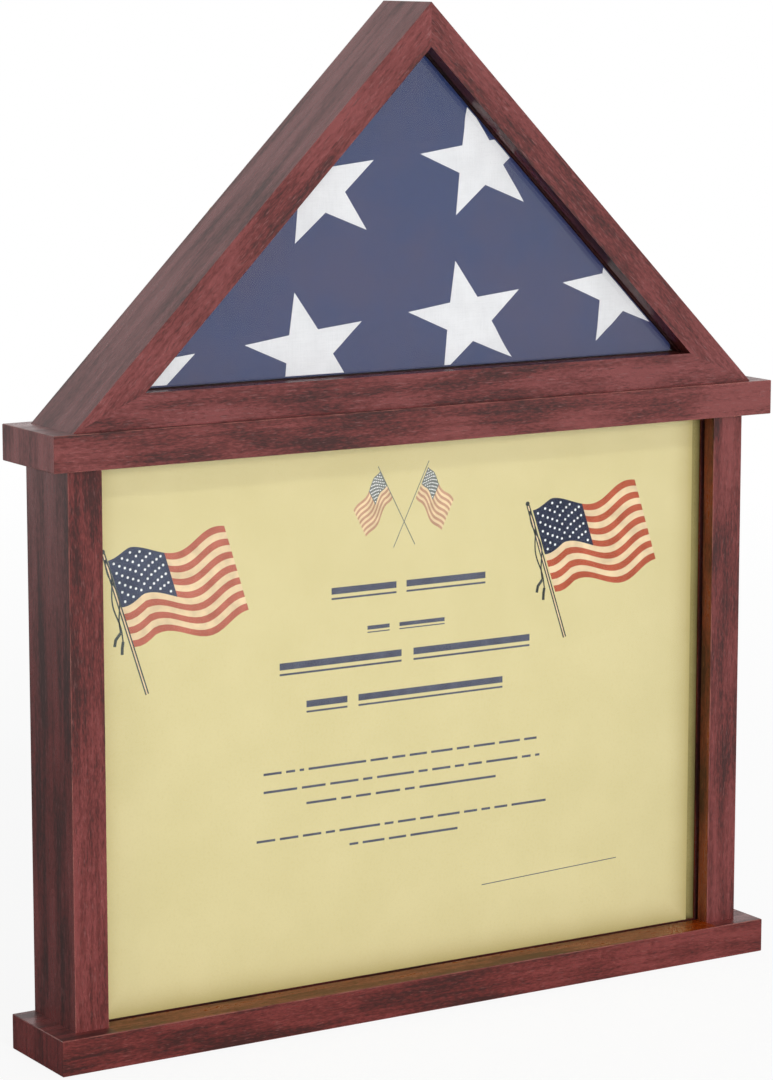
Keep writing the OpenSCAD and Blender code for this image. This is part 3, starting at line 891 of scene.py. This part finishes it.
# a plain pole, or one with a knob and two cords that cross and end in tassels
def printPole(bm, plan, pole):
    slate = plan["inks"][2]
    head, foot = (Vector(spot) for spot in plan["pole"])
    if not plan["cord"]:
        inkBand(bm, [head, foot], pole["plain"], slate, 3)
        return
    along = foot - head
    aside = Vector((along.y, -along.x)).normalized()
    inkBand(bm, [head, foot], pole["core"], "paleInk", 2)
    for offset in (aside * pole["edge"], -aside * pole["edge"]):
        inkBand(bm, [head + offset, foot + offset], pole["edgeWidth"], slate, 3)
    inkDot(bm, head - along.normalized() * pole["knobRise"], pole["knob"], pole["knobSegments"], slate, 4)
    for phase, reach, spread in pole["cords"]:
        trail = []
        for index in range(pole["cordSteps"] + 1):
            share = index / pole["cordSteps"]
            swell = pole["swell"] * math.sin(math.pi * min(1.0, share * pole["swellEnd"]))
            swell = swell * math.cos(phase + pole["turns"] * share) + pole["drift"] * share * share
            trail.append(head + along * (pole["cordHead"] + reach * share) + aside * swell)
        inkBand(bm, trail, pole["cordWidth"], slate, 4)
        leaning, middle = pole["tasselMiddle"]
        tassel = [trail[-1] + Vector(fall) for fall in (
            (0, 0), (spread * leaning, middle), (spread, pole["tasselFoot"]))]
        inkBand(bm, tassel, pole["tasselWidth"], slate, 4)


# plain rules stand where words were, in millimetres
sheetRules = {
    "heading": (  # the line's foot and height, then each word's left and right
        (167.0, 11.0, ((-37.0, -7.0), (-2.3, 35.2))), (152.8, 6.5, ((-20.5, -10.2), (-5.6, 15.7))),
        (139.0, 11.5, ((-60.7, -4.6), (1.0, 56.8))), (123.2, 11.0, ((-48.6, -29.8), (-24.7, 43.7)))),
    "body": (  # the line's foot, left and right, then each word's length in letters
        (101.0, -68.2, 60.6, (4, 2, 1, 13, 4, 3, 4, 5, 3, 5, 5, 3)),
        (93.8, -68.2, 62.1, (7, 5, 6, 2, 8, 2, 4, 2, 3, 7, 2, 1)),
        (87.3, -48.8, 40.6, (6, 2, 3, 5, 2, 16)),
        (74.3, -71.5, 65.3, (4, 4, 4, 2, 9, 2, 4, 3, 5, 3, 2, 3, 8)),
        (68.0, -29.0, 22.2, (2, 5, 4, 11))),
    "signing": ((34.0, 43.5), (101.0, 46.0)),
    "headingRules": ((0.44, 0.24), (0.16, 0.07)),  # each rule's height and width, as shares of the line's
    "bodyRule": (0.9, 0.95),  # the same in millimetres
    "signingWidth": 0.35,
}


def printRules(bm, plan):
    for foot, height, words in plan["heading"]:
        for left, right in words:
            for rise, width in plan["headingRules"]:
                level = foot + height * rise
                inkBand(bm, [(left, level), (right, level)], height * width, "textInk", 1)
    rise, width = plan["bodyRule"]
    for foot, left, right, words in plan["body"]:
        letter = (right - left) / (sum(words) + len(words) - 1)
        for count in words:
            inkBand(bm, [(left, foot + rise), (left + count * letter, foot + rise)], width, "textInk", 1)
            left += (count + 1) * letter
    inkBand(bm, plan["signing"], plan["signingWidth"], "textInk", 1)


def finishPrint(bm, name):
    thicken(bm, sheetPrint["film"])
    bmesh.ops.recalc_face_normals(bm, faces=bm.faces[:])
    finishPiece(bm, name, inkStuff)


for printName, plan in wavingFlags.items():
    bm = bmesh.new()
    printFlag(bm, plan, flagPattern)
    printPole(bm, plan, flagPole)
    finishPrint(bm, printName)
bm = bmesh.new()
printRules(bm, sheetRules)
finishPrint(bm, "printedRules")
print("sheet printed")

# metal with faint worn patches
metalLook = {
    "platedBrass": {"color": (0.72, 0.50, 0.21), "roughness": 0.28},
    "zincSteel": {"color": (0.62, 0.62, 0.60), "roughness": 0.33},
}
metalWear = {"scale": 700.0, "detail": 4.0, "edge": (0.3, 0.7), "depth": 0.8}


def makeMetal(name, plan, wear):
    material, tree, shader = newMaterial(name, {"Metallic": 1.0, "Roughness": plan["roughness"]})
    patches = rangeNode(tree, noiseNode(tree, objectSpace(tree), wear["scale"], wear["detail"]), *wear["edge"])
    worn = tuple(wear["depth"] * value for value in plan["color"]) + (1,)
    tree.links.new(mixColor(tree, patches, plan["color"] + (1,), worn), shader.inputs["Base Color"])
    return material


metals = {name: makeMetal(name, plan, metalWear) for name, plan in metalLook.items()}
fittings = {
    "lowerLeftButton": {"node": "button_lower_left", "body": "lower_left_button"},
    "lowerRightButton": {"node": "button_lower_right", "body": "lower_right_button"},
    "upperLeftButton": {"node": "button_upper_left", "body": "upper_left_button"},
    "upperRightButton": {"node": "button_upper_right", "body": "upper_right_button"},
    "rafterLeftButton": {"node": "button_rafter_left", "body": "rafter_left_button"},
    "rafterRightButton": {"node": "button_rafter_right", "body": "rafter_right_button"},
    "sillButton": {"node": "button_sill", "body": "sill_button"},
    "buttonScrews": {"node": "button_screws", "body": "case"},
}
fittingEdge = {"width": 0.00012, "bluntest": 30, "smooth": 20}  # metres and degrees
for pieceName, plan in fittings.items():
    bm = mergedCopy(plan["node"])
    bluntest = math.radians(fittingEdge["bluntest"])
    rims = [edge for edge in bm.edges
            if len(edge.link_faces) == 2 and edge.is_convex and edge.calc_face_angle() > bluntest]
    easeEdges(bm, rims, fittingEdge["width"])
    metal, slotName = ("zincSteel", "steel") if plan["body"] == "case" else ("platedBrass", "brass")
    fitting = finishPiece(bm, pieceName, [metals[metal]], plan["body"], fittingEdge["smooth"])
    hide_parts(plan["node"])
for nodeName in ("base_screws", "mantel_screws", "sill_screws", "mitre_nails"):
    dressNode(nodeName, metals["zincSteel"])

spacerLook = {
    "light": (0.60, 0.44, 0.26, 1), "mid": (0.51, 0.36, 0.20, 1), "dark": (0.36, 0.23, 0.12, 1),
    "streaks": 1.6, "patches": 0.8, "roughness": 0.7, "turn": 90, "bump": (0.4, 0.0001),
}


def makeBareWood(plan):
    material, tree, shader = newMaterial("bareWood", {"Roughness": plan["roughness"]})
    grain = useGroup(tree, stainedGrain, {
        "Vector": objectSpace(tree, (0, math.radians(plan["turn"]), 0)), "Light stain": plan["light"],
        "Mid stain": plan["mid"], "Dark stain": plan["dark"], "Streaks": plan["streaks"],
        "Patches": plan["patches"], "Scuffs": 0.0})
    tree.links.new(grain["Color"], shader.inputs["Base Color"])
    addBump(tree, shader, grain["Height"], *plan["bump"])
    return material


bareWood = makeBareWood(spacerLook)
for nodeName in ("left_spacer", "right_spacer"):
    dressNode(nodeName, bareWood)
print("fittings and spacers finished")

# floor, world and lamps
studio = {
    "ambient": 0.18,
    "lamps": {
        "keyLamp": {"spot": (-0.3, -2.85, 0.5), "size": 1.3, "watts": 70},
        "upperLamp": {"spot": (-0.1, -1.95, 1.75), "size": 0.16, "watts": 7},
        "topLamp": {"spot": (0.1, 0.2, 2.4), "size": 2.0, "watts": 9},
        "backLamp": {"spot": (0.6, 2.9, 0.6), "size": 1.4, "watts": 36},
        "leftLamp": {"spot": (-2.8, -0.9, 0.7), "size": 1.4, "watts": 15},
        "rightLamp": {"spot": (2.8, -0.3, 0.7), "size": 1.4, "watts": 22},
    },
    "aim": (0.0, 0.0, 0.2),
    "floorReach": 6.0,
    "floorShade": 0.55,
    "floorRoughness": 0.9,
    "shadePool": (0.22, -0.32, 0.0),  # moves the floor's shaded pool to the far left of the case
    "floorFade": (0.3, 1.35),  # metres from the pool's middle, where the floor turns into the white backdrop
    "floorLift": 0.88,
    "floorSeen": 0.95,
    "floorMirrored": 0.3,
}
white = (1, 1, 1, 1)


def gray(shade):
    return (shade, shade, shade, 1)


# 1 where the eye sees a surface straight, mirrored or through glass
def seenRays(tree):
    rays = addNode(tree, "ShaderNodeLightPath").outputs
    bent = mathNode(tree, "MAXIMUM", rays["Is Glossy Ray"], rays["Is Transmission Ray"])
    return rays, mathNode(tree, "MAXIMUM", rays["Is Camera Ray"], bent)


def makeWorld(plan):
    world = bpy.data.worlds.new("studioWorld")
    bpy.context.scene.world = world
    world.use_nodes = True
    tree = world.node_tree
    tree.nodes.clear()
    soft = addNode(tree, "ShaderNodeBackground", {"Color": white, "Strength": plan["ambient"]})
    backdrop = addNode(tree, "ShaderNodeBackground", {"Color": white, "Strength": 1.0})
    seen = seenRays(tree)[1]
    mixer = addNode(tree, "ShaderNodeMixShader", {0: seen, 1: soft.outputs[0], 2: backdrop.outputs[0]})
    addNode(tree, "ShaderNodeOutputWorld", {"Surface": mixer.outputs[0]})


def makeLamp(name, plan, aim):
    lampData = bpy.data.lights.new(name, "AREA")
    lampData.shape = "SQUARE"
    lampData.size = plan["size"]
    lampData.energy = plan["watts"]
    lamp = bpy.data.objects.new(name, lampData)
    lamp.location = plan["spot"]
    lamp.rotation_euler = (Vector(aim) - Vector(plan["spot"])).to_track_quat("-Z", "Y").to_euler()
    lamp.visible_glossy = False
    lamp.visible_transmission = False
    bpy.context.scene.collection.objects.link(lamp)


# a floor that fades into the backdrop, darker in mirrors and to the lamps than to the eye
def makeFloorPaint(plan):
    material, tree, shader = newMaterial("floorPaint", {
        "Roughness": plan["floorRoughness"], "Specular IOR Level": 0.0})
    rays, seen = seenRays(tree)
    fromPool = objectSpace(tree, shift=plan["shadePool"])
    distance = addNode(tree, "ShaderNodeVectorMath", {0: fromPool}, operation="LENGTH").outputs["Value"]
    fade = mathNode(tree, "MULTIPLY", rangeNode(tree, distance, *plan["floorFade"]), seen)
    nearWhite = rangeNode(tree, distance, *plan["floorFade"], plan["floorLift"], 1.0)
    lift = mathNode(tree, "MAXIMUM", fade, mathNode(tree, "MULTIPLY", rays["Is Camera Ray"], nearWhite))
    paint = mixColor(tree, rays["Is Glossy Ray"], gray(plan["floorShade"]), gray(plan["floorMirrored"]))
    paint = mixColor(tree, rays["Is Camera Ray"], paint, gray(plan["floorSeen"]))
    tree.links.new(paint, shader.inputs["Base Color"])
    mixSurface(tree, lift, shader, addNode(tree, "ShaderNodeEmission", {"Color": white, "Strength": 1.0}))
    return material


makeWorld(studio)
for name, plan in studio["lamps"].items():
    makeLamp(name, plan, studio["aim"])
bm = bmesh.new()
bmesh.ops.create_grid(bm, x_segments=2, y_segments=2, size=studio["floorReach"])
floorMesh = bpy.data.meshes.new("studioFloor")
bm.to_mesh(floorMesh)
bm.free()
floorMesh.materials.append(makeFloorPaint(studio))
studioFloor = bpy.data.objects.new("studioFloor", floorMesh)
bpy.context.scene.collection.objects.link(studioFloor)
print("studio lit")
